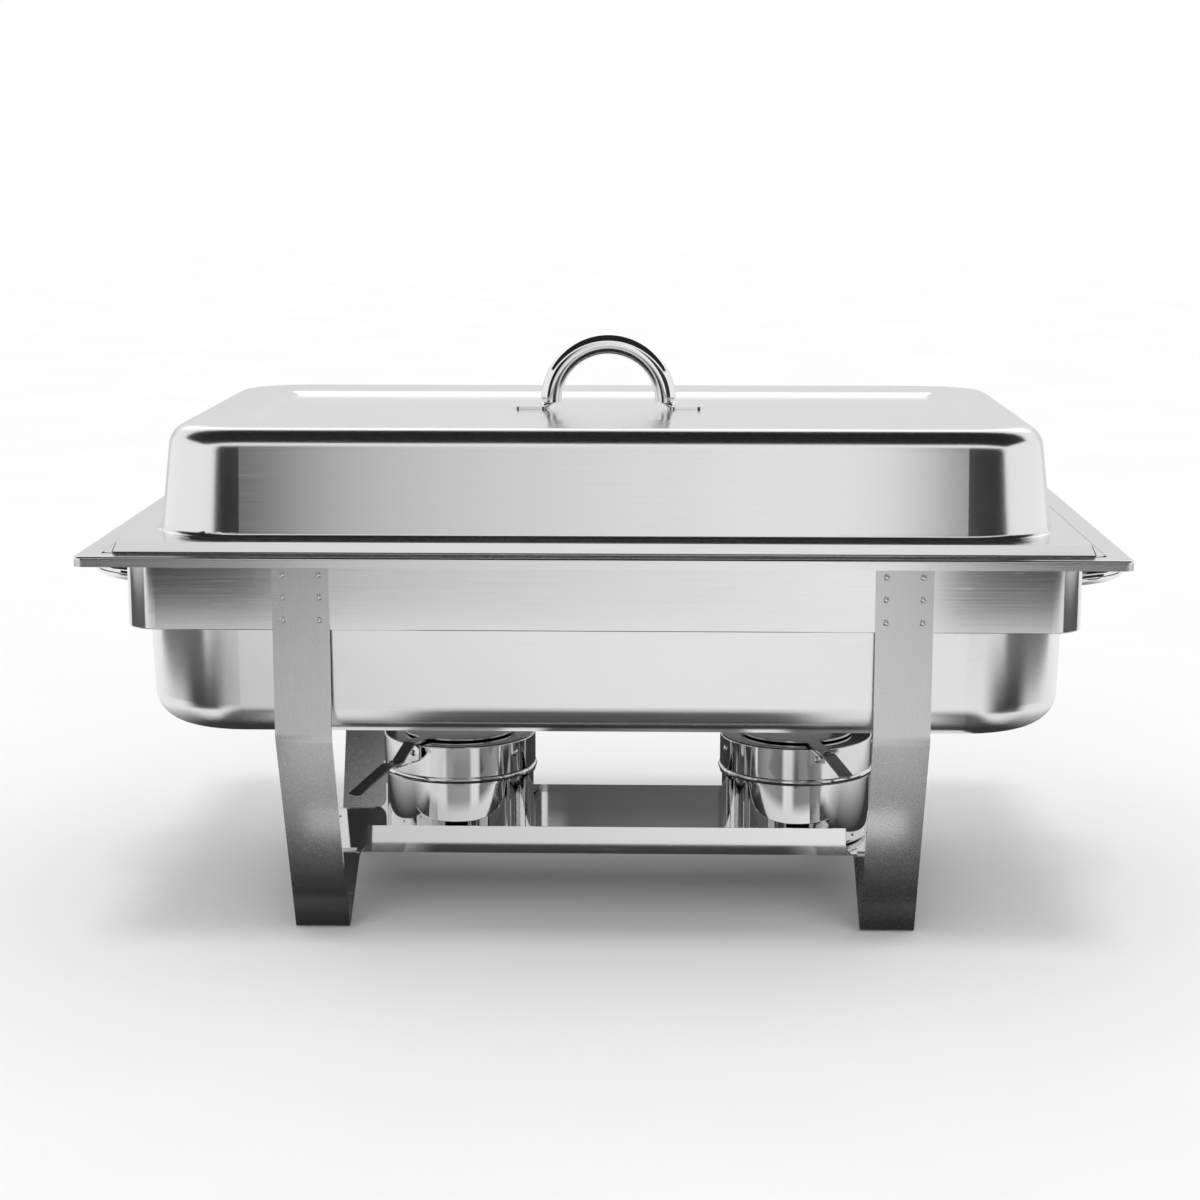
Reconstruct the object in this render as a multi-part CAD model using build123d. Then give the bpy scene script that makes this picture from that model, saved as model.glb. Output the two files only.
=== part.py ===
"""Chafing dish food warmer: a full size stainless buffet warmer.

Units are millimetres. The origin is on the table under the middle of the
dish, +X runs along the long side, -Y is the side the guests stand at, +Z is up.
Every loose or separately made piece is written to its own STEP file.
"""
from build123d import *
import math
import os

# General sheet and clearance sizes
SHEET = 0.8
CLEARANCE = 0.3
SEAM = 0.05

# Water pan
RIM_LENGTH = 565.0
RIM_WIDTH = 360.0
RIM_TOP = 230.0
RIM_CORNER = 6.0
RIM_LIP = 5.5
RIM_LAND = 13.0
RIM_STEP = 2.0
RIM_EDGE = 1.6
BODY_LENGTH = 517.0
BODY_WIDTH = 312.0
BODY_CORNER = 60.0
BODY_BOTTOM = 126.0
BODY_DRAFT = 3.0
BODY_FILLET = 18.0
LEDGE_TOP = RIM_TOP - RIM_STEP

# Food pan, a full size gastronorm pan 65 mm deep
FOOD_LENGTH = 530.0
FOOD_WIDTH = 325.0
FOOD_CORNER = 18.0
FOOD_LAND = 14.2
FOOD_DEPTH = 64.0
FOOD_BODY_CORNER = 50.0
FOOD_DRAFT = 7.0
FOOD_FILLET = 14.0
FOOD_TOP = LEDGE_TOP + CLEARANCE + SHEET

# Lid
LIP_LENGTH = 538.0
LIP_WIDTH = 333.0
LIP_CORNER = 5.0
SKIRT_FOOT_INSET = 3.4
SKIRT_TOP_INSET = 6.0
FLANGE_TOP = 235.2
LID_LENGTH = 500.0
LID_WIDTH = 295.0
LID_CORNER = 52.0
LID_TOP = 294.0
LID_DRAFT = 7.0
LID_FILLET = 13.0
LID_FOOT_FILLET = 4.0
PANEL_LENGTH = 406.0
PANEL_WIDTH = 168.0
PANEL_DEPTH = 2.0
PANEL_BEVEL = 5.5
PANEL_CORNER = 6.0
LIP_BOTTOM = FOOD_TOP + CLEARANCE
PANEL_FLOOR = LID_TOP - PANEL_DEPTH

# Lid handle
GRIP_TUBE = 6.2
GRIP_RADIUS = 34.3
GRIP_TOP = 336.5
GRIP_TAB_END = 57.0
GRIP_TAB_WIDTH = 17.0
GRIP_TAB_THICK = 1.6
GRIP_TAB_CORNER = 4.0
GRIP_SQUEEZE = 1.8
GRIP_SQUEEZE_HEIGHT = 3.0

# Support frame
BAND_LENGTH = 522.0
BAND_WIDTH = 317.0
BAND_CORNER = 18.0
BAND_BOTTOM = 186.5
BAND_TOP = LEDGE_TOP - SHEET - CLEARANCE
BAND_THICK = 1.0
BAND_HEM = 3.5
BAND_EDGE = 0.7
STRIP_WIDTH = 31.0
STRIP_THICK = 2.0
STRIP_X = 163.3
STRIP_TOP = 223.5
STRIP_BEND_Z = 127.0
FOOT_Y = 101.0
SADDLE_Y = 51.0
SADDLE_TOP = 30.0
BEND_RADIUS = 14.0
FOLD_RADIUS = 3.0
FOOT_FLAT = 0.15
SADDLE_RADIUS = 6.0

# Leg rivets
RIVET_SHANK = 1.2
RIVET_HEAD = 1.75
RIVET_DOME = 0.8
RIVET_TAIL = 0.5
RIVET_COLUMN = 9.85
RIVET_ROWS = (217.5, 205.2, 192.6)
HOLE_FIT = 0.05

# Fuel shelf
SHELF_HALF_Y = 50.0
SHELF_WALL_TOP = 46.5
SHELF_WALL_HALF_X = 143.0
SHELF_TAB_HALF_X = 177.0
SHELF_TAB_HALF_Y = 44.0
SHELF_FLARE = 7.0
SHELF_BOTTOM = SADDLE_TOP + SEAM
SHELF_FLOOR = SHELF_BOTTOM + SHEET
SHELF_RIVET_X = 171.0
SHELF_RIVET_Y = 26.0
SHELF_RIVET_HEAD = 2.6

# End handles
END_TUBE = 4.6
END_HALF_SPAN = 45.0
END_REACH = 41.0
END_CORNER = 22.0
END_Z = 196.0
END_TILT = 7.0
END_PAD_LENGTH = 24.0
END_PAD_HEIGHT = 15.0
END_PAD_THICK = 1.8
END_PAD_OUTSET = 15.0
END_PAD_CORNER = 5.0
END_RIVET_OUTSET = 19.5
END_RIVET_SHANK = 1.6
END_RIVET_HEAD = 2.8
END_RIVET_DOME = 1.3

# Fuel burners
BURNER_X = {"left": -91.0, "right": 115.0}
ARM_ANGLE = {"left": 32.0, "right": -13.0}
CUP_RADIUS = 45.0
CUP_TOP = 92.8
CUP_FILLET = 4.0
CUP_BOTTOM = SHELF_FLOOR + CLEARANCE
COLLAR_INNER = 45.5
COLLAR_BOTTOM = 70.0
COLLAR_TOP = CUP_TOP + CLEARANCE + SHEET
COLLAR_HOLE = 31.0
COLLAR_EDGE = 1.0
BEAD_RADIUS = 2.4
BEAD_OUTER = 47.2
BEAD_Z = 73.2
STUD_HEAD = 2.4
STUD_SHANK = 1.3
STUD_DOME = 1.1
STUD_DROP = 7.0
TAIL_TRIM = 0.4
PIVOT_TAIL = 0.7
STUD_TURNS = (82.0, 180.0, 278.0)
COLLAR_OUTER = COLLAR_INNER + SHEET

# Dampers
DAMPER_THICK = 1.2
DAMPER_RADIUS = 34.0
DAMPER_BOTTOM = COLLAR_TOP + 1.0
ARM_WIDTH = 8.0
ARM_ROOT = 10.0
ARM_BEND = 2.0
ARM_TIP_TRIM = 3.9
PIVOT_RADIUS = 67.0
PIVOT_SHANK = 1.6
PIVOT_PLAY = 0.08
PIVOT_HEAD = 3.0
PIVOT_DOME = 1.3
BRACKET_WIDTH = 9.0
BRACKET_THICK = 1.0
BRACKET_REACH = 72.0
BRACKET_HEIGHT = 9.6
BRACKET_RIVET_DROP = 6.2
BRACKET_RIVET_RISE = 3.6
LANDING_DROP = {"left": 9.3, "right": 0.0}
LANDING_HALF = 5.0
ARM_KNEE = 50.0
ARM_TIP = {"left": (112.0, 14.0), "right": (106.0, 4.0)}


def slab(size, bottom, top):
    """Upright rounded block; size is (length, width, corner radius)."""
    return Pos(0, 0, bottom) * extrude(RectangleRounded(*size), top - bottom)


def ring(outer, inner, bottom, top):
    """Flat rectangular ring between two rounded outlines."""
    return slab(outer, bottom, top) - slab(inner, bottom, top)


def inset(size, amount):
    """Rounded outline moved inwards by the same amount on every side."""
    length, width, corner = size
    return (length - 2 * amount, width - 2 * amount, max(corner - amount, 1.0))


def taper(lower, upper, bottom, top):
    """Solid lofted between two rounded outlines at two heights."""
    faces = [Pos(0, 0, bottom) * RectangleRounded(*lower), Pos(0, 0, top) * RectangleRounded(*upper)]
    return loft(faces)


def cylinder(radius, bottom, top, x=0.0, y=0.0):
    """Upright cylinder between two heights."""
    return Pos(x, y, bottom) * extrude(Circle(radius), top - bottom)


def dome(radius, height):
    """Shallow rivet head standing on the XY plane."""
    sphere_radius = (radius**2 + height**2) / (2 * height)
    ball = Pos(0, 0, height - sphere_radius) * Sphere(sphere_radius)
    return ball & cylinder(radius + 1.0, 0.0, height + 1.0)


def rivet(shank, head, head_height, grip, tail_head=0.0, tail_height=0.0):
    """Rivet along +Z: the domed head sits on z = 0 and the shank hangs down by grip."""
    body = dome(head, head_height) + cylinder(shank, -grip, 0.2)
    if tail_height > 0:
        body += cylinder(tail_head, -grip - tail_height, -grip)
    return body


def rounded_path(points, radii):
    """Straight runs joined by tangent arcs, as one wire."""
    edges = []
    start = Vector(points[0])
    for before, corner, after, radius in zip(points, points[1:], points[2:], radii):
        corner = Vector(corner)
        inward = (Vector(before) - corner).normalized()
        onward = (Vector(after) - corner).normalized()
        half = math.radians(inward.get_angle(onward)) / 2
        reach = radius / math.tan(half)
        bisector = (inward + onward).normalized()
        middle = corner + bisector * (radius / math.sin(half) - radius)
        edges.append(Line(start, corner + inward * reach))
        edges.append(ThreePointArc(corner + inward * reach, middle, corner + onward * reach))
        start = corner + onward * reach
    edges.append(Line(start, Vector(points[-1])))
    return Wire([edge.edge() for edge in edges])


def swept_bar(path, section, across):
    """Sweep a flat section along a wire; across is the section's local x direction."""
    plane = Plane(origin=path @ 0, x_dir=across, z_dir=path % 0)
    return sweep(plane * section, path=path)


def water_pan():
    """Deep pan that holds the hot water, with a stepped rim and a turned down edge."""
    rim = (RIM_LENGTH, RIM_WIDTH, RIM_CORNER)
    step = inset(rim, RIM_LAND)
    body = (BODY_LENGTH, BODY_WIDTH, BODY_CORNER)
    cap = slab(rim, RIM_TOP - RIM_LIP, RIM_TOP)
    cap = fillet(cap.edges().group_by(Axis.Z)[-1], RIM_EDGE)
    cap -= slab(inset(rim, SHEET), RIM_TOP - RIM_LIP, RIM_TOP - SHEET)
    cap -= slab(step, RIM_TOP - SHEET, RIM_TOP)
    cap += ring(inset(step, -SHEET), step, LEDGE_TOP - SHEET, RIM_TOP)
    cap += ring(inset(step, -SHEET), inset(body, SHEET), LEDGE_TOP - SHEET, LEDGE_TOP)
    return cap + tub(body, LEDGE_TOP, BODY_BOTTOM, BODY_DRAFT, BODY_FILLET)


def tub(size, top, bottom, draft, floor_radius):
    """Open shell with sloping walls and a rounded floor edge."""
    outer = taper(inset(size, draft), size, bottom, top)
    outer = fillet(outer.edges().group_by(Axis.Z)[0], floor_radius)
    inner = taper(inset(size, draft + SHEET), inset(size, SHEET), bottom + SHEET, top)
    inner = fillet(inner.edges().group_by(Axis.Z)[0], floor_radius - SHEET)
    return outer - inner


def food_pan():
    """Gastronorm pan that hangs in the water pan by its flat rim."""
    rim = (FOOD_LENGTH, FOOD_WIDTH, FOOD_CORNER)
    body = (FOOD_LENGTH - 2 * FOOD_LAND, FOOD_WIDTH - 2 * FOOD_LAND, FOOD_BODY_CORNER)
    plate = ring(rim, inset(body, SHEET), FOOD_TOP - SHEET, FOOD_TOP)
    return plate + tub(body, FOOD_TOP, FOOD_TOP - FOOD_DEPTH, FOOD_DRAFT, FOOD_FILLET)


def lid_form(grow):
    """Outer form of the lid, moved inwards by grow to give its inside."""
    lip = (LIP_LENGTH, LIP_WIDTH, LIP_CORNER)
    foot = inset(lip, SKIRT_FOOT_INSET + grow)
    shoulder = inset(lip, SKIRT_TOP_INSET + grow)
    base = inset((LID_LENGTH, LID_WIDTH, LID_CORNER), grow)
    crown = inset(base, LID_DRAFT)
    flange = FLANGE_TOP - grow
    top = LID_TOP - grow
    dish = taper(base, crown, flange, top)
    dish = fillet(dish.edges().group_by(Axis.Z)[-1], LID_FILLET - grow)
    form = taper(foot, shoulder, LIP_BOTTOM, flange) + dish
    joint = [e for e in form.edges().filter_by_position(Axis.Z, flange - 0.01, flange + 0.01)
             if abs(e.center().X) < LID_LENGTH / 2 + 1 and abs(e.center().Y) < LID_WIDTH / 2 + 1]
    form = fillet(joint, LID_FOOT_FILLET + grow)
    outer_panel = inset((PANEL_LENGTH, PANEL_WIDTH, PANEL_CORNER), -grow / 2)
    return form - taper(inset(outer_panel, PANEL_BEVEL), outer_panel, top - PANEL_DEPTH, top)


def lid_shell():
    """Raised lid with a sunk top panel, a flat shoulder, a skirt and a thin lip."""
    lip = (LIP_LENGTH, LIP_WIDTH, LIP_CORNER)
    brim = ring(lip, inset(lip, SKIRT_FOOT_INSET + SHEET), LIP_BOTTOM, LIP_BOTTOM + SHEET)
    return lid_form(0.0) - lid_form(SHEET) + brim


def grip_foot(side):
    """Tube end squeezed flat and bent outwards into a tab on the lid panel."""
    floor = PANEL_FLOOR + SEAM
    squeeze = GRIP_SQUEEZE
    centre_z = GRIP_TOP - GRIP_TUBE - GRIP_RADIUS
    sections = [
        Pos(side * GRIP_RADIUS, 0, centre_z) * Circle(GRIP_TUBE),
        Pos(side * (GRIP_RADIUS + squeeze), 0, floor + GRIP_SQUEEZE_HEIGHT)
        * Ellipse(GRIP_TUBE - squeeze, GRIP_TUBE + squeeze),
        Pos(side * (GRIP_RADIUS + 2 * squeeze), 0, floor)
        * Ellipse(GRIP_TUBE - 2 * squeeze, GRIP_TAB_WIDTH / 2 - SHEET),
    ]
    start = GRIP_RADIUS + squeeze
    length = GRIP_TAB_END - start
    tab = Pos(side * (start + length / 2), 0, floor) * RectangleRounded(length, GRIP_TAB_WIDTH, GRIP_TAB_CORNER)
    return loft(sections) + extrude(tab, GRIP_TAB_THICK)


def lid_handle():
    """Half ring of round tube standing on the lid panel."""
    centre_z = GRIP_TOP - GRIP_TUBE - GRIP_RADIUS
    start = (GRIP_RADIUS, 0, centre_z)
    arc = ThreePointArc(start, (0, 0, centre_z + GRIP_RADIUS), (-GRIP_RADIUS, 0, centre_z))
    bow = swept_bar(Wire([arc.edge()]), Circle(GRIP_TUBE), (0, 1, 0))
    return bow + grip_foot(1) + grip_foot(-1)


def rivet_spots():
    """Leg rivet centres as (x, side in y, z), grouped by leg name."""
    spots = {}
    for x_name, x_side in (("left", -1), ("right", 1)):
        for y_name, y_side in (("front", -1), ("rear", 1)):
            columns = [x_side * STRIP_X + offset for offset in (-RIVET_COLUMN, RIVET_COLUMN)]
            spots[f"{y_name}_{x_name}"] = [(x, y_side, z) for x in columns for z in RIVET_ROWS]
    return spots


def cross_drill(radius, x, side, z):
    """Cutter for a rivet hole through the long side of the band."""
    spot = Plane(origin=(x, side * BAND_WIDTH / 2, z), z_dir=(0, side, 0))
    return spot * Cylinder(radius, 4 * STRIP_THICK)


def end_pad_spots(side):
    """Rivet centres of one end handle as (x side, y, z)."""
    offset = END_HALF_SPAN + END_RIVET_OUTSET
    return [(side, -offset, END_Z), (side, offset, END_Z)]


def frame_band():
    """Sheet hoop that carries the water pan, folded inwards along its lower edge."""
    outline = (BAND_LENGTH, BAND_WIDTH, BAND_CORNER)
    hoop = slab(outline, BAND_BOTTOM, BAND_TOP)
    hoop = fillet(hoop.edges().group_by(Axis.Z)[0], BAND_EDGE)
    band = hoop - slab(inset(outline, BAND_THICK), BAND_BOTTOM, BAND_TOP)
    fold = (inset(outline, BAND_EDGE), inset(outline, 2 * BAND_THICK))
    band += ring(*fold, BAND_BOTTOM, BAND_BOTTOM + BAND_HEM)
    for spots in rivet_spots().values():
        for x, side, z in spots:
            band -= cross_drill(RIVET_SHANK + HOLE_FIT, x, side, z)
    for side in (-1, 1):
        for _, y, z in end_pad_spots(side):
            spot = Plane(origin=(side * BAND_LENGTH / 2, y, z), z_dir=(side, 0, 0))
            band -= spot * Cylinder(END_RIVET_SHANK + HOLE_FIT, 6 * BAND_THICK)
    return band


def strip_points():
    """Corner points of one end strip, from the front leg top to the rear leg top."""
    half = STRIP_THICK / 2
    top_y = BAND_WIDTH / 2 + SEAM + half
    saddle_z = SADDLE_TOP - half
    leg = Vector(0, -(top_y - FOOT_Y), STRIP_BEND_Z).normalized()
    strut = Vector(0, FOOT_Y - SADDLE_Y, saddle_z).normalized()
    half_angle = math.radians(leg.get_angle(strut)) / 2
    lift = (leg + strut).normalized().Z * FOLD_RADIUS / math.sin(half_angle)
    foot_z = half + FOLD_RADIUS - lift - FOOT_FLAT
    front = [(-top_y, STRIP_TOP), (-top_y, STRIP_BEND_Z), (-FOOT_Y, foot_z), (-SADDLE_Y, saddle_z)]
    return front + [(-y, z) for y, z in reversed(front)]


def leg_strip(side):
    """One bent strip: front leg, front foot, saddle under the shelf, rear foot, rear leg."""
    x = side * STRIP_X
    points = [(x, y, z) for y, z in strip_points()]
    radii = [BEND_RADIUS, FOLD_RADIUS, SADDLE_RADIUS, SADDLE_RADIUS, FOLD_RADIUS, BEND_RADIUS]
    strip = swept_bar(rounded_path(points, radii), Rectangle(STRIP_WIDTH, STRIP_THICK), (1, 0, 0))
    strip -= Pos(x, 0, -5) * Box(2 * STRIP_WIDTH, 3 * FOOT_Y, 10)
    for spots in rivet_spots().values():
        for spot_x, spot_side, z in spots:
            if spot_x * side > 0:
                strip -= cross_drill(RIVET_SHANK + HOLE_FIT, spot_x, spot_side, z)
    for y in (-SHELF_RIVET_Y, SHELF_RIVET_Y):
        strip -= cylinder(RIVET_SHANK + HOLE_FIT, 20.0, 40.0, side * SHELF_RIVET_X, y)
    return strip


def leg_rivets(spots):
    """The six rivets that hold one leg to the band."""
    outer = BAND_WIDTH / 2 + SEAM + STRIP_THICK + SEAM
    grip = SEAM + STRIP_THICK + SEAM + BAND_THICK + SEAM
    piece = rivet(RIVET_SHANK, RIVET_HEAD, RIVET_DOME, grip, RIVET_HEAD, RIVET_TAIL)
    placed = [Plane(origin=(x, side * outer, z), z_dir=(0, side, 0)) * piece for x, side, z in spots]
    return Compound(placed)


def shelf_wall(side):
    """One long wall of the fuel shelf, flared at its ends where it meets the floor."""
    x = SHELF_WALL_HALF_X
    foot = SHELF_FLARE
    drop = SHELF_BOTTOM + foot
    outline = Wire([
        Line((-x, SHELF_WALL_TOP), (x, SHELF_WALL_TOP)).edge(),
        Line((x, SHELF_WALL_TOP), (x, drop)).edge(),
        RadiusArc((x, drop), (x + foot, SHELF_BOTTOM), -foot).edge(),
        Line((x + foot, SHELF_BOTTOM), (-x - foot, SHELF_BOTTOM)).edge(),
        RadiusArc((-x - foot, SHELF_BOTTOM), (-x, drop), -foot).edge(),
        Line((-x, drop), (-x, SHELF_WALL_TOP)).edge(),
    ])
    plane = Plane(origin=(0, side * (SHELF_HALF_Y - SHEET / 2), 0), x_dir=(1, 0, 0), z_dir=(0, -1, 0))
    return extrude(plane * Face(outline), SHEET / 2, both=True)


def fuel_shelf():
    """Long tray between the two saddles that the fuel burners stand on."""
    run = 2 * (SHELF_WALL_HALF_X + SHELF_FLARE)
    floor = Pos(0, 0, SHELF_BOTTOM + SHEET / 2) * Box(run, 2 * SHELF_HALF_Y, SHEET)
    tabs = slab((2 * SHELF_TAB_HALF_X, 2 * SHELF_TAB_HALF_Y, 6.0), SHELF_BOTTOM, SHELF_FLOOR)
    shelf = floor + tabs + shelf_wall(-1) + shelf_wall(1)
    for x, y in shelf_rivet_spots():
        shelf -= cylinder(RIVET_SHANK + HOLE_FIT, SHELF_BOTTOM - 1, SHELF_FLOOR + 1, x, y)
    return shelf


def shelf_rivet_spots():
    """Centres of the four rivets through the shelf tabs."""
    return [(x, y) for x in (-SHELF_RIVET_X, SHELF_RIVET_X) for y in (-SHELF_RIVET_Y, SHELF_RIVET_Y)]


def shelf_rivets():
    """Four rivets that hold the shelf tabs on the saddles."""
    grip = SEAM + SHEET + SEAM + STRIP_THICK + SEAM
    piece = rivet(RIVET_SHANK, SHELF_RIVET_HEAD, RIVET_DOME, grip, RIVET_HEAD, RIVET_TAIL)
    return Compound([Pos(x, y, SHELF_FLOOR + SEAM) * piece for x, y in shelf_rivet_spots()])


def end_handle(side):
    """Carrying handle on one end of the band: a tube loop with two flat pads."""
    face = BAND_LENGTH / 2 + SEAM
    root = face + END_PAD_THICK / 2
    rise = END_REACH * math.tan(math.radians(END_TILT))
    outer = face + END_REACH
    points = [
        (side * root, -END_HALF_SPAN, END_Z),
        (side * outer, -END_HALF_SPAN, END_Z + rise),
        (side * outer, END_HALF_SPAN, END_Z + rise),
        (side * root, END_HALF_SPAN, END_Z),
    ]
    loop = swept_bar(rounded_path(points, [END_CORNER, END_CORNER]), Circle(END_TUBE), (0, 1, 0))
    outside = Box(2 * END_REACH, 4 * END_HALF_SPAN, 2 * END_REACH)
    handle = loop & Pos(side * (face + END_REACH), 0, END_Z) * outside
    for y_side in (-1, 1):
        pad_y = y_side * (END_HALF_SPAN + END_PAD_OUTSET / 2)
        pad = Plane(origin=(side * face, pad_y, END_Z), x_dir=(0, 1, 0), z_dir=(side, 0, 0))
        handle += pad * extrude(RectangleRounded(END_PAD_LENGTH, END_PAD_HEIGHT, END_PAD_CORNER), END_PAD_THICK)
    for _, y, z in end_pad_spots(side):
        spot = Plane(origin=(side * face, y, z), z_dir=(side, 0, 0))
        handle -= spot * Cylinder(END_RIVET_SHANK + HOLE_FIT, 4 * END_PAD_THICK)
    return handle


def end_handle_rivets(side):
    """Two rivets that hold one end handle to the band."""
    outer = BAND_LENGTH / 2 + SEAM + END_PAD_THICK + SEAM
    grip = SEAM + END_PAD_THICK + SEAM + BAND_THICK + SEAM
    piece = rivet(END_RIVET_SHANK, END_RIVET_HEAD, END_RIVET_DOME, grip, END_RIVET_HEAD, RIVET_TAIL)
    spots = end_pad_spots(side)
    return Compound([Plane(origin=(side * outer, y, z), z_dir=(side, 0, 0)) * piece for _, y, z in spots])


def fuel_cup():
    """Open cup that holds a can of gel fuel, standing on the shelf floor."""
    outer = cylinder(CUP_RADIUS, CUP_BOTTOM, CUP_TOP)
    outer = fillet(outer.edges().group_by(Axis.Z)[0], CUP_FILLET)
    inner = cylinder(CUP_RADIUS - SHEET, CUP_BOTTOM + SHEET, CUP_TOP)
    inner = fillet(inner.edges().group_by(Axis.Z)[0], CUP_FILLET - SHEET)
    return outer - inner


def burner_collar(drop):
    """Ring that drops over the cup, with a beaded skirt and drilled for its rivets."""
    wall = cylinder(COLLAR_OUTER, COLLAR_BOTTOM, COLLAR_TOP)
    wall = fillet(wall.edges().group_by(Axis.Z)[-1], COLLAR_EDGE)
    bead_face = Plane.XZ * (Pos(BEAD_OUTER - BEAD_RADIUS, BEAD_Z) * Circle(BEAD_RADIUS))
    wall += revolve(bead_face, Axis.Z)
    wall -= cylinder(COLLAR_INNER, COLLAR_BOTTOM - 5, COLLAR_TOP - SHEET)
    wall -= cylinder(COLLAR_HOLE, COLLAR_TOP - 2, COLLAR_TOP + 1)
    for turn in STUD_TURNS:
        wall -= radial(turn, COLLAR_OUTER, stud_height()) * Cylinder(STUD_SHANK + HOLE_FIT, 6)
    return wall - radial(0.0, COLLAR_OUTER, bracket_rivet_z(drop)) * Cylinder(STUD_SHANK + HOLE_FIT, 6)


def radial(turn, radius, z):
    """Plane on the burner's side facing outwards, turned from the arm direction."""
    angle = math.radians(turn - 90)
    outward = (math.cos(angle), math.sin(angle), 0)
    return Plane(origin=(radius * outward[0], radius * outward[1], z), z_dir=outward)


def stud_height():
    """Height of the rivets around the collar wall."""
    return COLLAR_TOP - STUD_DROP


def collar_studs():
    """Three small domed rivets spaced around the collar wall."""
    piece = rivet(STUD_SHANK, STUD_HEAD, STUD_DOME, SHEET + SEAM)
    return Compound([radial(turn, COLLAR_OUTER + SEAM, stud_height()) * piece for turn in STUD_TURNS])


def tab_top(drop):
    """Height of the top of the bracket tab under the damper arm."""
    return DAMPER_BOTTOM - drop - CLEARANCE


def bracket_rivet_z(drop):
    """Height of the rivet through the upright leaf of the bracket."""
    return COLLAR_TOP - BRACKET_RIVET_DROP if drop == 0 else tab_top(drop) + BRACKET_RIVET_RISE


def damper_bracket(drop):
    """L bracket on the collar wall whose flat tab carries the damper pivot."""
    inner = COLLAR_OUTER + SEAM
    top = tab_top(drop)
    leaf_low = top - BRACKET_HEIGHT if drop == 0 else top - BRACKET_THICK
    leaf = Pos(0, -(inner + BRACKET_THICK / 2), leaf_low + BRACKET_HEIGHT / 2)
    bracket = leaf * Box(BRACKET_WIDTH, BRACKET_THICK, BRACKET_HEIGHT)
    length = BRACKET_REACH - inner
    tab = RectangleRounded(BRACKET_WIDTH, 2 * length, BRACKET_WIDTH / 2 - 0.1)
    tab = Pos(0, -inner, top - BRACKET_THICK) * extrude(tab, BRACKET_THICK)
    bracket += tab - Pos(0, -inner + length, top) * Box(2 * BRACKET_WIDTH, 2 * length, 4)
    bracket -= cylinder(PIVOT_SHANK + HOLE_FIT, top - 3, top + 3, 0, -PIVOT_RADIUS)
    return bracket - radial(0.0, inner, bracket_rivet_z(drop)) * Cylinder(STUD_SHANK + HOLE_FIT, 6)


def bracket_rivet(drop):
    """Rivet through the bracket leaf and the collar wall."""
    face = COLLAR_OUTER + SEAM + BRACKET_THICK + SEAM
    piece = rivet(STUD_SHANK, STUD_HEAD - TAIL_TRIM, STUD_DOME - TAIL_TRIM, face - COLLAR_INNER - SEAM)
    return radial(0.0, face, bracket_rivet_z(drop)) * piece


def pivot_rivet(drop):
    """Upright rivet that the damper arm turns on."""
    head_z = DAMPER_BOTTOM - drop + DAMPER_THICK + CLEARANCE
    grip = head_z - tab_top(drop) + BRACKET_THICK + SEAM
    piece = rivet(PIVOT_SHANK, PIVOT_HEAD, PIVOT_DOME, grip, PIVOT_HEAD - TAIL_TRIM, PIVOT_TAIL)
    return Pos(0, -PIVOT_RADIUS, head_z) * piece


def damper(drop, tip):
    """Round cover plate with a flat arm; the arm is bent where it leaves the collar."""
    tip_radius, tip_drop = tip
    level = DAMPER_BOTTOM + DAMPER_THICK / 2
    landing = level - drop
    points = [(0, -ARM_ROOT, level)]
    if drop > 0:
        points += [(0, -ARM_KNEE, level), (0, -PIVOT_RADIUS + LANDING_HALF, landing)]
    points.append((0, -PIVOT_RADIUS - LANDING_HALF, landing))
    points.append((0, -tip_radius, landing - tip_drop))
    bends = [ARM_BEND] * (len(points) - 2)
    arm = swept_bar(rounded_path(points, bends), Rectangle(ARM_WIDTH, DAMPER_THICK), (1, 0, 0))
    ends = Pos(0, -tip_radius / 2, level - 20) * RectangleRounded(ARM_WIDTH, tip_radius, ARM_TIP_TRIM)
    arm = arm & extrude(ends, 60)
    plate = cylinder(DAMPER_RADIUS, DAMPER_BOTTOM, DAMPER_BOTTOM + DAMPER_THICK)
    plate = fillet(plate.edges().group_by(Axis.Z)[-1], 0.4)
    hole = cylinder(PIVOT_SHANK + PIVOT_PLAY, landing - 4, landing + 4, 0, -PIVOT_RADIUS)
    return plate + arm - hole


def burner(name):
    """All pieces of one fuel burner, placed on the shelf and turned to its arm angle."""
    drop = LANDING_DROP[name]
    pieces = {
        "fuel_cup": fuel_cup(),
        "burner_collar": burner_collar(drop),
        "collar_studs": collar_studs(),
        "damper_bracket": damper_bracket(drop),
        "bracket_rivet": bracket_rivet(drop),
        "pivot_rivet": pivot_rivet(drop),
        "damper": damper(drop, ARM_TIP[name]),
    }
    place = Pos(BURNER_X[name], 0, 0) * Rot(0, 0, -ARM_ANGLE[name])
    return {f"{name}_{piece}": place * shape for piece, shape in pieces.items()}


def all_parts():
    """Every node of the food warmer by name."""
    parts = {
        "water_pan": water_pan(),
        "food_pan": food_pan(),
        "lid_shell": lid_shell(),
        "lid_handle": lid_handle(),
        "frame_band": frame_band(),
        "left_leg_strip": leg_strip(-1),
        "right_leg_strip": leg_strip(1),
        "fuel_shelf": fuel_shelf(),
        "shelf_rivets": shelf_rivets(),
        "left_end_handle": end_handle(-1),
        "right_end_handle": end_handle(1),
        "left_handle_rivets": end_handle_rivets(-1),
        "right_handle_rivets": end_handle_rivets(1),
    }
    for leg, spots in rivet_spots().items():
        parts[f"{leg}_leg_rivets"] = leg_rivets(spots)
    for name in BURNER_X:
        parts.update(burner(name))
    return parts


os.makedirs("parts", exist_ok=True)
for part_name, part_shape in all_parts().items():
    export_step(part_shape, f"parts/{part_name}.step")
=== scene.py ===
"""Looks for the chafing dish: stainless finishes, a white studio and the camera."""
import math

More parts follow.
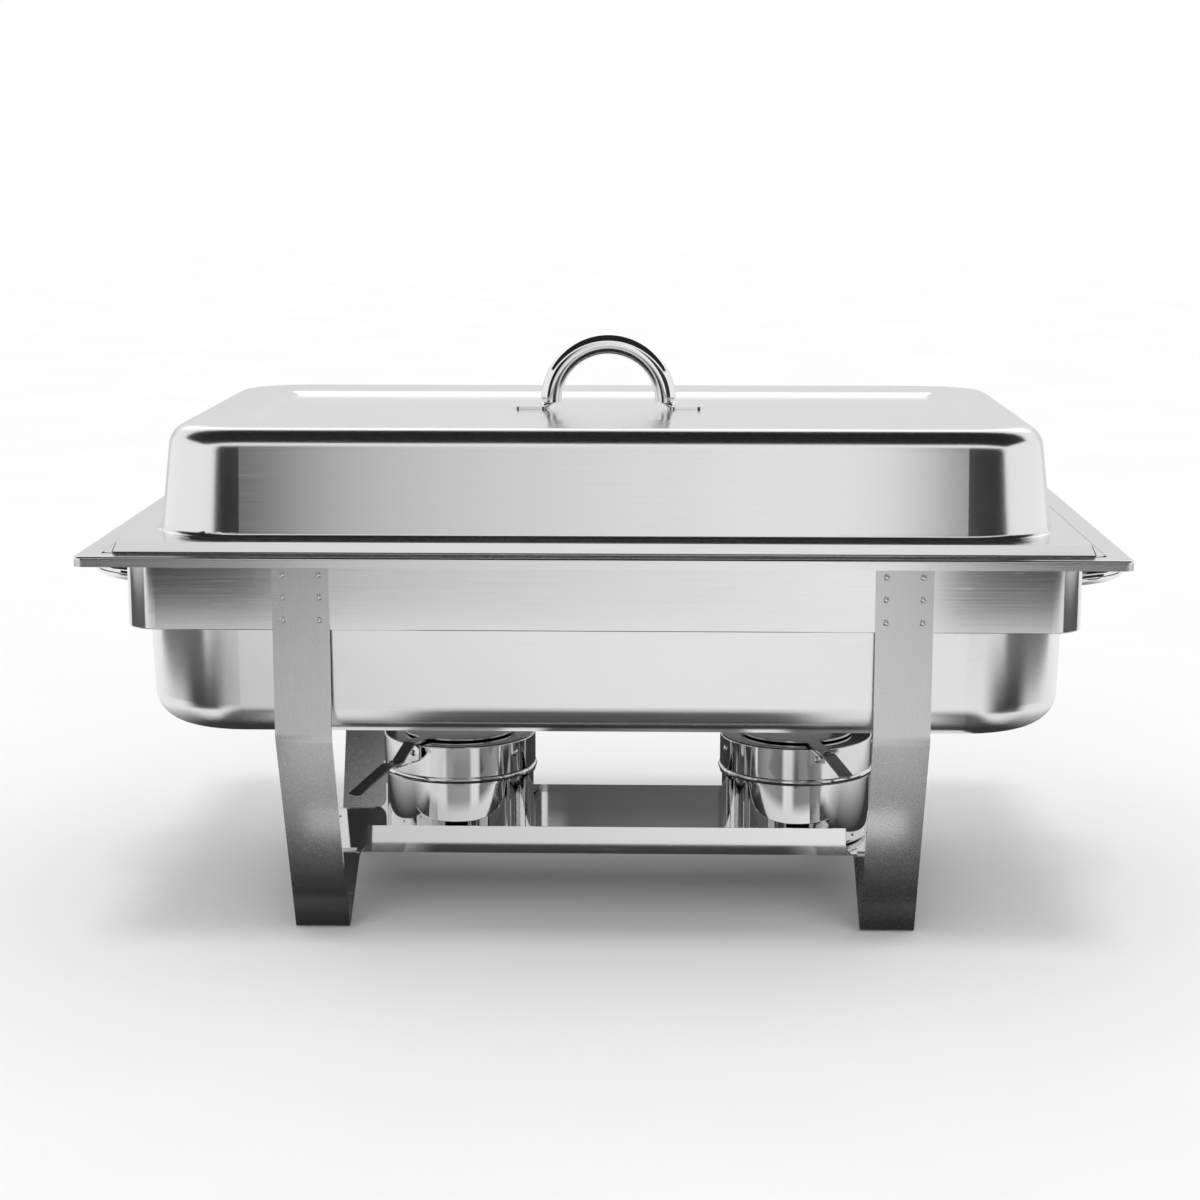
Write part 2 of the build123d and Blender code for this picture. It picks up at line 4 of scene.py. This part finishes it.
import bpy
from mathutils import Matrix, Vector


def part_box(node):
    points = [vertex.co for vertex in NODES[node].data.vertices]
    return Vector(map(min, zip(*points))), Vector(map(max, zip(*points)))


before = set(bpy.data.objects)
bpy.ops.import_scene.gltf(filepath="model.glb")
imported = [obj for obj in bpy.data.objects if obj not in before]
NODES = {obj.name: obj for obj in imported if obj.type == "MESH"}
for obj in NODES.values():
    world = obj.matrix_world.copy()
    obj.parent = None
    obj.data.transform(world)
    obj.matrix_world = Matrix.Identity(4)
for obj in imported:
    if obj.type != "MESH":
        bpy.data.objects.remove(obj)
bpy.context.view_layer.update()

# ---- sizes, in metres -------------------------------------------------------------------------
GRAIN_LENGTH = 0.090        # how far one brushing line runs
GRAIN_WIDTH = 0.00045       # distance between brushing lines
TURNING_PITCH = 0.0006      # distance between turning lines on the burners
CLOUD_SIZE = 0.120          # patches of slightly different sheen
SCRATCH_LENGTH = 0.030
SCRATCH_GAP = 0.0035
MOTTLE_SIZE = 0.250         # soft patches on the floor

# ---- how the steel varies ---------------------------------------------------------------------
GRAIN_SHARE = 0.7           # the rest of the mottling is clouds
MOTTLING_RANGE = (0.3, 0.7)
ROUGHNESS_RANGE = (0.8, 1.25)
GREY_PLACES = (0.32, 0.68)  # where the dark and the light grey sit along the noise
SCRATCH_TURN = (0.3, 0.2, 0.5)
SCRATCH_RANGE = (0.70, 0.74)
SCRATCH_ROUGHNESS = 0.03

# ---- bump depths, in metres -------------------------------------------------------------------
SATIN_DEPTH = 0.000003
SHEET_DEPTH = 0.000002
STRIP_DEPTH = 0.0000015
POLISHED_DEPTH = 0.000001

# ---- camera and light -------------------------------------------------------------------------
CAMERA_PLACE = (0.032, -1.432, 0.4365)
CAMERA_PITCH = math.radians(10.34)
CAMERA_YAW = math.radians(1.48)
SENSOR = 36.0
LENS = 71.85

BACKDROP_LEVEL = 1.0        # the white behind the dish
ROOM_LEVEL = 0.96           # the white that lights it and shows in the metal
KEY_LEVEL = 0.65
KEY_SPREAD = math.radians(12.0)
KEY_TILT = math.radians(15.0)
FLOOR_GREYS = (0.85, 0.87)
FLOOR_HALF = 12.0
BLACK = 0.02
FRONT_CARD_Y = -1.15
FRONT_CARD_TOP = 1.00
CEILING_HEIGHT = 1.30
FLOOR_CARD_STEP = 0.0005           # height between one dark floor card and the next

ALONG_X = (1.0, 0.0, 0.0)
ALONG_Z = (0.0, 0.0, 1.0)


# ---- node helpers -----------------------------------------------------------------------------
class Graph:
    """A material's node tree, with short calls for the nodes used here."""

    def __init__(self, name):
        self.material = bpy.data.materials.new(name)
        self.material.use_nodes = True
        self.tree = self.material.node_tree
        self.tree.nodes.clear()
        output = self.tree.nodes.new("ShaderNodeOutputMaterial")
        self.shader = self.tree.nodes.new("ShaderNodeBsdfPrincipled")
        self.tree.links.new(self.shader.outputs["BSDF"], output.inputs["Surface"])

    def node(self, kind, inputs=None, **settings):
        made = self.tree.nodes.new("ShaderNode" + kind)
        for key, value in settings.items():
            setattr(made, key, value)
        for key, value in (inputs or {}).items():
            self.put(made.inputs[key], value)
        return made

    def put(self, socket, value):
        if isinstance(value, bpy.types.NodeSocket):
            self.tree.links.new(value, socket)
        else:
            socket.default_value = value

    def place(self):
        return self.node("TexCoord").outputs["Object"]

    def scaled(self, vector, scale, turn=(0.0, 0.0, 0.0)):
        inputs = {"Vector": vector, "Scale": scale, "Rotation": turn}
        return self.node("Mapping", inputs).outputs["Vector"]

    def noise(self, vector, detail=3.0, roughness=0.6):
        inputs = {"Vector": vector, "Scale": 1.0, "Detail": detail, "Roughness": roughness}
        return self.node("TexNoise", inputs).outputs["Fac"]

    def ranged(self, value, source, target):
        inputs = {"Value": value, "From Min": source[0], "From Max": source[1],
                  "To Min": target[0], "To Max": target[1]}
        return self.node("MapRange", inputs).outputs["Result"]

    def math(self, operation, first, second=0.0):
        inputs = {0: first, 1: second}
        return self.node("Math", inputs, operation=operation).outputs["Value"]

    def grey_ramp(self, value, dark, light):
        ramp = self.node("ValToRGB", {"Fac": value})
        for element, place, grey in zip(ramp.color_ramp.elements, GREY_PLACES, (dark, light)):
            element.position = place
            element.color = (*grey, 1.0)
        return ramp.outputs["Color"]


def shades(level, spread):
    """A dark and a light steel grey around one level, a touch cooler when lighter."""
    dark = (level - spread, level - spread, level - 0.99 * spread)
    light = (level + spread, level + spread, level + 1.04 * spread)
    return dark, light


def steel(name, level, roughness, grain_vector, grain_depth, spread=0.03):
    """Stainless steel whose colour, roughness and bump follow its grain, clouds and scratches.
    grain_vector(graph) gives coordinates that vary fast across the grain and slowly along it."""
    graph = Graph(name)
    grain = graph.noise(grain_vector(graph), detail=4.0, roughness=0.7)
    cloud = graph.noise(graph.scaled(graph.place(), (1 / CLOUD_SIZE,) * 3), detail=2.0)
    lines = (1 / SCRATCH_LENGTH, 1 / SCRATCH_GAP, 1 / SCRATCH_GAP)
    turned = graph.scaled(graph.place(), lines, SCRATCH_TURN)
    scratch = graph.ranged(graph.noise(turned, detail=1.0), SCRATCH_RANGE, (0.0, 1.0))
    grain_part = graph.math("MULTIPLY", grain, GRAIN_SHARE)
    mixed = graph.math("ADD", grain_part, graph.math("MULTIPLY", cloud, 1 - GRAIN_SHARE))
    dark, light = shades(level, spread)
    graph.put(graph.shader.inputs["Base Color"], graph.grey_ramp(mixed, dark, light))
    base = graph.ranged(mixed, MOTTLING_RANGE, [roughness * share for share in ROUGHNESS_RANGE])
    rougher = graph.math("ADD", base, graph.math("MULTIPLY", scratch, SCRATCH_ROUGHNESS))
    graph.put(graph.shader.inputs["Roughness"], rougher)
    graph.put(graph.shader.inputs["Metallic"], 1.0)
    bump = graph.node("Bump", {"Strength": 1.0, "Distance": grain_depth, "Height": grain})
    graph.put(graph.shader.inputs["Normal"], bump.outputs["Normal"])
    return graph.material


def straight_grain(direction):
    """Coordinates for brushing lines that run along one axis."""
    scale = tuple(1 / GRAIN_LENGTH if part else 1 / GRAIN_WIDTH for part in direction)
    return lambda graph: graph.scaled(graph.place(), scale)


def turning_grain(centre):
    """Coordinates for turning lines around an upright axis at centre."""

    def vector(graph):
        moved = graph.node("Mapping", {"Vector": graph.place(), "Location": (-centre.x, -centre.y, 0.0)})
        parts = graph.node("SeparateXYZ", {"Vector": moved.outputs["Vector"]}).outputs
        across, along = (graph.math("MULTIPLY", parts[axis], parts[axis]) for axis in ("X", "Y"))
        radius = graph.math("SQRT", graph.math("ADD", across, along))
        inputs = {
            "X": graph.math("MULTIPLY", radius, 1 / TURNING_PITCH),
            "Y": graph.math("MULTIPLY", parts["Z"], 1 / TURNING_PITCH),
            "Z": graph.math("MULTIPLY", parts["X"], 1 / GRAIN_LENGTH),
        }
        return graph.node("CombineXYZ", inputs).outputs["Vector"]

    return vector


# ---- finishes ---------------------------------------------------------------------------------
def dress(names, material):
    """Gives each named CAD node this one material."""
    for name in names:
        slots = NODES[name].data.materials
        slots.clear()
        slots.append(material)


def middle(name):
    """The middle of a node's box."""
    low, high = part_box(name)
    return (low + high) / 2


def dress_pans():
    brushed = straight_grain(ALONG_X)
    dress(["lid_shell"], steel("satin lid steel", 0.80, 0.18, brushed, SATIN_DEPTH))
    dress(["water_pan", "food_pan"], steel("satin pan steel", 0.79, 0.19, brushed, SATIN_DEPTH))


def dress_stand():
    across, upward = straight_grain(ALONG_X), straight_grain(ALONG_Z)
    dress(["frame_band"], steel("band sheet steel", 0.76, 0.12, across, SHEET_DEPTH))
    dress(["fuel_shelf"], steel("shelf sheet steel", 0.76, 0.045, across, SHEET_DEPTH))
    strips = ["left_leg_strip", "right_leg_strip"]
    dress(strips, steel("strip steel", 0.58, 0.24, upward, STRIP_DEPTH, spread=0.015))
    tubes = ["lid_handle", "left_end_handle", "right_end_handle"]
    dress(tubes, steel("polished tube steel", 0.84, 0.07, across, POLISHED_DEPTH, spread=0.015))
    rivets = [name for name in NODES if "rivet" in name]
    dress(rivets, steel("rivet steel", 0.70, 0.20, upward, SHEET_DEPTH))


def dress_burner(side):
    cup = side + "_fuel_cup"
    turned = turning_grain(middle(cup))
    spun = steel(side + " spun burner steel", 0.70, 0.05, turned, POLISHED_DEPTH, spread=0.02)
    dress([cup, side + "_burner_collar", side + "_collar_studs", side + "_damper_bracket"], spun)
    dress([side + "_damper"], steel(side + " damper steel", 0.50, 0.14, turned, POLISHED_DEPTH))


# ---- studio -----------------------------------------------------------------------------------
def panel(name, corners, material):
    """A four-cornered studio surface that isn't part of the object."""
    mesh = bpy.data.meshes.new(name)
    mesh.from_pydata(corners, [], [(0, 1, 2, 3)])
    mesh.materials.append(material)
    made = bpy.data.objects.new(name, mesh)
    bpy.context.scene.collection.objects.link(made)
    return made


def reflection_only(card):
    """A card that shows in polished metal but not in view, and throws no shadow."""
    card.visible_camera = False
    card.visible_diffuse = False
    card.visible_shadow = False
    card.visible_transmission = False


def floor_material():
    graph = Graph("pale floor")
    mottle = graph.noise(graph.scaled(graph.place(), (1 / MOTTLE_SIZE,) * 3), detail=5.0)
    dark, light = ((grey,) * 3 for grey in FLOOR_GREYS)
    colour = graph.grey_ramp(mottle, dark, light)
    graph.put(graph.shader.inputs["Base Color"], colour)
    graph.put(graph.shader.inputs["Roughness"], 0.9)
    graph.put(graph.shader.inputs["Specular IOR Level"], 0.1)
    return graph.material


def even(level):
    """Stops for a card that has one level all along."""
    return [(0.0, level), (1.0, level)]


SOLID = even(1.0)


def ramp_along(tree, axis, stops):
    """A brightness that follows stops, (share, level), along one axis of the card. The first share
    is 0 and the last is 1."""
    place = tree.nodes.new("ShaderNodeTexCoord").outputs["Generated"]
    split = tree.nodes.new("ShaderNodeSeparateXYZ")
    ramp = tree.nodes.new("ShaderNodeValToRGB")
    tree.links.new(place, split.inputs["Vector"])
    tree.links.new(split.outputs[axis], ramp.inputs["Fac"])
    elements = ramp.color_ramp.elements
    for share, _ in stops[1:-1]:
        elements.new(share)
    for element, (share, level) in zip(elements, stops):
        element.position = share
        element.color = (level, level, level, 1.0)
    return ramp.outputs["Color"]


def card_material(name, stops, cover_x=SOLID, cover_y=SOLID, cover_z=SOLID):
    """A card that glows by stops along X, and is as solid as all three covers say."""
    material = bpy.data.materials.new(name)
    material.use_nodes = True
    tree = material.node_tree
    tree.nodes.clear()
    output = tree.nodes.new("ShaderNodeOutputMaterial")
    glow = tree.nodes.new("ShaderNodeEmission")
    clear = tree.nodes.new("ShaderNodeBsdfTransparent")
    mix = tree.nodes.new("ShaderNodeMixShader")
    tree.links.new(ramp_along(tree, "X", stops), glow.inputs["Color"])
    cover = ramp_along(tree, "X", cover_x)
    for axis, share in (("Y", cover_y), ("Z", cover_z)):
        times = tree.nodes.new("ShaderNodeMath")
        times.operation = "MULTIPLY"
        tree.links.new(cover, times.inputs[0])
        tree.links.new(ramp_along(tree, axis, share), times.inputs[1])
        cover = times.outputs["Value"]
    tree.links.new(cover, mix.inputs["Fac"])
    tree.links.new(clear.outputs["BSDF"], mix.inputs[1])
    tree.links.new(glow.outputs["Emission"], mix.inputs[2])
    tree.links.new(mix.outputs["Shader"], output.inputs["Surface"])
    return material


def upright_card(name, start, end, heights, stops, **cover):
    """A standing card from start to end, both (x, y), between two heights."""
    low, high = heights
    corners = [(*start, low), (*end, low), (*end, high), (*start, high)]
    reflection_only(panel(name, corners, card_material(name, stops, **cover)))


def level_card(name, low, high, height, stops, **cover):
    """A lying card between two corners, both (x, y)."""
    (left, front), (right, back) = low, high
    corners = [(left, front, height), (right, front, height), (right, back, height), (left, back, height)]
    reflection_only(panel(name, corners, card_material(name, stops, **cover)))


def build_front_card():
    """One wide card in front, bright in the middle and dark at both ends: the dark ends show in the
    rounded corners. Its stops are places along X, in metres."""
    stops = [(-1.14, BLACK), (-0.70, BLACK), (-0.46, 0.03), (-0.362, 0.07), (-0.315, 0.50),
             (-0.25, 0.62), (-0.14, 0.74), (0.04, 0.88), (0.20, 1.02), (0.285, 1.06), (0.318, 0.10),
             (0.37, 0.06), (0.45, 0.04), (1.80, BLACK)]
    start, end = stops[0][0], stops[-1][0]
    shares = [((place - start) / (end - start), level) for place, level in stops]
    upright_card("front card", (start, FRONT_CARD_Y), (end, FRONT_CARD_Y), (0.0, FRONT_CARD_TOP),
                 shares, cover_z=[(0.0, 1.0), (0.8, 1.0), (1.0, 0.0)])


def build_side_flags():
    """Low dark flags on both sides, for the corners of the water pan and of the band."""
    soft_top = [(0.0, 1.0), (0.70, 1.0), (1.0, 0.0)]
    soft_ends = [(0.0, 0.0), (0.30, 1.0), (0.75, 1.0), (1.0, 0.0)]
    for side, sign in (("left", -1.0), ("right", 1.0)):
        upright_card(side + " pan flag", (0.325 * sign, -0.38), (0.495 * sign, -0.17), (0.0, 0.125),
                     even(0.03), cover_x=soft_ends, cover_z=soft_top)
        upright_card(side + " band flag", (0.70 * sign, -0.55), (0.95 * sign, 0.25), (0.0, 0.15),
                     even(0.10), cover_z=soft_top)


def build_high_cards():
    """A black ceiling for the lid's top fillet, a light for the panel's edge and a grey card behind."""
    level_card("ceiling flag", (-2.2, -1.10), (2.2, 0.63), CEILING_HEIGHT, even(BLACK))
    upright_card("panel edge light", (-0.9, 0.9), (0.9, 0.9), (0.75, 1.15), even(1.5))
    greys = [(0.0, 0.58), (0.45, 0.74), (1.0, 0.68)]
    upright_card("back card", (-1.6, 1.60), (1.6, 1.60), (0.0, 0.95), greys,
                 cover_z=[(0.0, 0.8), (0.6, 0.8), (1.0, 0.0)])


def build_dark_floor_cards():
    """Dark cards on the floor that only the metal reflects: painted shade under the dish, in front of it
    and before the legs, and a dark flag lying in front on the left. The one in front of the pan has gaps
    before the legs."""
    # painted shade: a dark card under and behind the dish, seen only in the metal, for the floor in the
    # dish's shade
    lay_dark_floor_card("floor shade card", (-0.45, -0.20), (0.45, 0.95), 2 * FLOOR_CARD_STEP,
            [(0.0, 0.0), (0.18, 1.0), (0.82, 1.0), (1.0, 0.0)],
            [(0.0, 0.0), (0.04, 0.50), (0.08, 0.96), (0.8, 0.96), (1.0, 0.0)])
    # painted shade: a dark card in front of the dish, seen only in the metal; it has gaps before the legs
    gapped = [(0.0, 0.0), (0.06, 0.9), (0.14, 0.9), (0.18, 0.0), (0.27, 0.0), (0.31, 0.9),
              (0.69, 0.9), (0.73, 0.0), (0.82, 0.0), (0.86, 0.9), (0.94, 0.9), (1.0, 0.0)]
    lay_dark_floor_card("front shade card", (-0.30, -0.42), (0.30, -0.11), 3 * FLOOR_CARD_STEP, gapped,
            [(0.0, 0.0), (0.20, 1.0), (1.0, 1.0)])
    lay_dark_floor_card("left front floor flag", (-0.70, -0.85), (0.0, -0.36), 4 * FLOOR_CARD_STEP,
            [(0.0, 0.75), (0.45, 0.55), (0.70, 0.18), (1.0, 0.0)],
            [(0.0, 0.0), (0.15, 1.0), (0.85, 1.0), (1.0, 0.0)])
    # painted shade: dark cards before the legs, seen only in the metal, darker towards the feet
    towards_foot = [(0.0, 0.0), (0.5, 0.35), (1.0, 0.85)]
    for side, start, end in (("left", -0.21, -0.132), ("right", 0.132, 0.21)):
        lay_dark_floor_card(side + " leg shade card", (start, -0.24), (end, -0.12), 5 * FLOOR_CARD_STEP, SOLID, towards_foot)


# lays a dark floor card that only the metal reflects; the ones under and round the dish are painted shade
def lay_dark_floor_card(name, low, high, height, cover_x, cover_y):
    level_card(name, low, high, height, even(BLACK), cover_x=cover_x, cover_y=cover_y)


def build_burner_cards():
    """A striped card in front of the burners for the streaks in their polished walls, a light card
    for the shelf front, and a dark card between the burners, painted shade for the shelf's rear wall."""
    light, white, shade = 0.95, 1.0, 0.30
    streaks = [(0.0, light), (0.16, 0.90), (0.18, shade), (0.30, 0.36), (0.32, white), (0.36, white),
               (0.38, 0.10), (0.55, shade), (0.66, 0.20), (0.68, white), (0.72, 0.90), (0.74, 0.16),
               (0.90, shade), (0.92, light), (1.0, light)]
    upright_card("burner flag", (-0.18, -0.105), (0.21, -0.105), (0.036, 0.115), streaks,
                 cover_z=[(0.0, 0.0), (0.1, 0.85), (1.0, 0.85)])
    upright_card("shelf front light", (-0.175, -0.16), (0.175, -0.16), (0.004, 0.040),
                 [(0.0, 0.72), (1.0, 0.98)])
    # painted shade: a dark card in the gap between the burners, seen only in the shelf's rear wall
    upright_card("gap shade card", (-0.044, -0.035), (0.075, -0.035), (0.030, 0.085),
                 [(0.0, 0.12), (1.0, 0.16)], cover_z=[(0.0, 1.0), (0.45, 0.95), (1.0, 0.3)])


def build_floor():
    sides = ((-1, -1), (1, -1), (1, 1), (-1, 1))
    corners = [(FLOOR_HALF * x, FLOOR_HALF * y, 0.0) for x, y in sides]
    panel("floor", corners, floor_material())


def build_room():
    world = bpy.data.worlds.new("studio")
    bpy.context.scene.world = world
    world.use_nodes = True
    tree = world.node_tree
    background = tree.nodes["Background"]
    background.inputs["Color"].default_value = (1.0, 1.0, 1.0, 1.0)
    seen = tree.nodes.new("ShaderNodeLightPath").outputs["Is Camera Ray"]
    level = tree.nodes.new("ShaderNodeMapRange")
    level.inputs["To Min"].default_value = ROOM_LEVEL
    level.inputs["To Max"].default_value = BACKDROP_LEVEL
    tree.links.new(seen, level.inputs["Value"])
    tree.links.new(level.outputs["Result"], background.inputs["Strength"])


def build_key_light():
    lamp = bpy.data.lights.new("soft key", "SUN")
    lamp.energy = KEY_LEVEL
    lamp.angle = KEY_SPREAD
    made = bpy.data.objects.new("soft key", lamp)
    made.rotation_euler = (KEY_TILT, 0.0, 0.0)
    made.visible_glossy = False
    bpy.context.scene.collection.objects.link(made)


def build_camera():
    lens = bpy.data.cameras.new("camera")
    lens.sensor_width = SENSOR
    lens.lens = LENS
    lens.clip_start = 0.05
    lens.clip_end = 60.0
    made = bpy.data.objects.new("camera", lens)
    made.location = CAMERA_PLACE
    made.rotation_euler = (math.pi / 2 - CAMERA_PITCH, 0.0, CAMERA_YAW)
    bpy.context.scene.collection.objects.link(made)
    bpy.context.scene.camera = made


dress_pans()
dress_stand()
dress_burner("left")
dress_burner("right")
build_front_card()
build_side_flags()
build_high_cards()
build_dark_floor_cards()
build_burner_cards()
build_floor()
build_room()
build_key_light()
build_camera()
bpy.context.scene.view_settings.view_transform = "Standard"
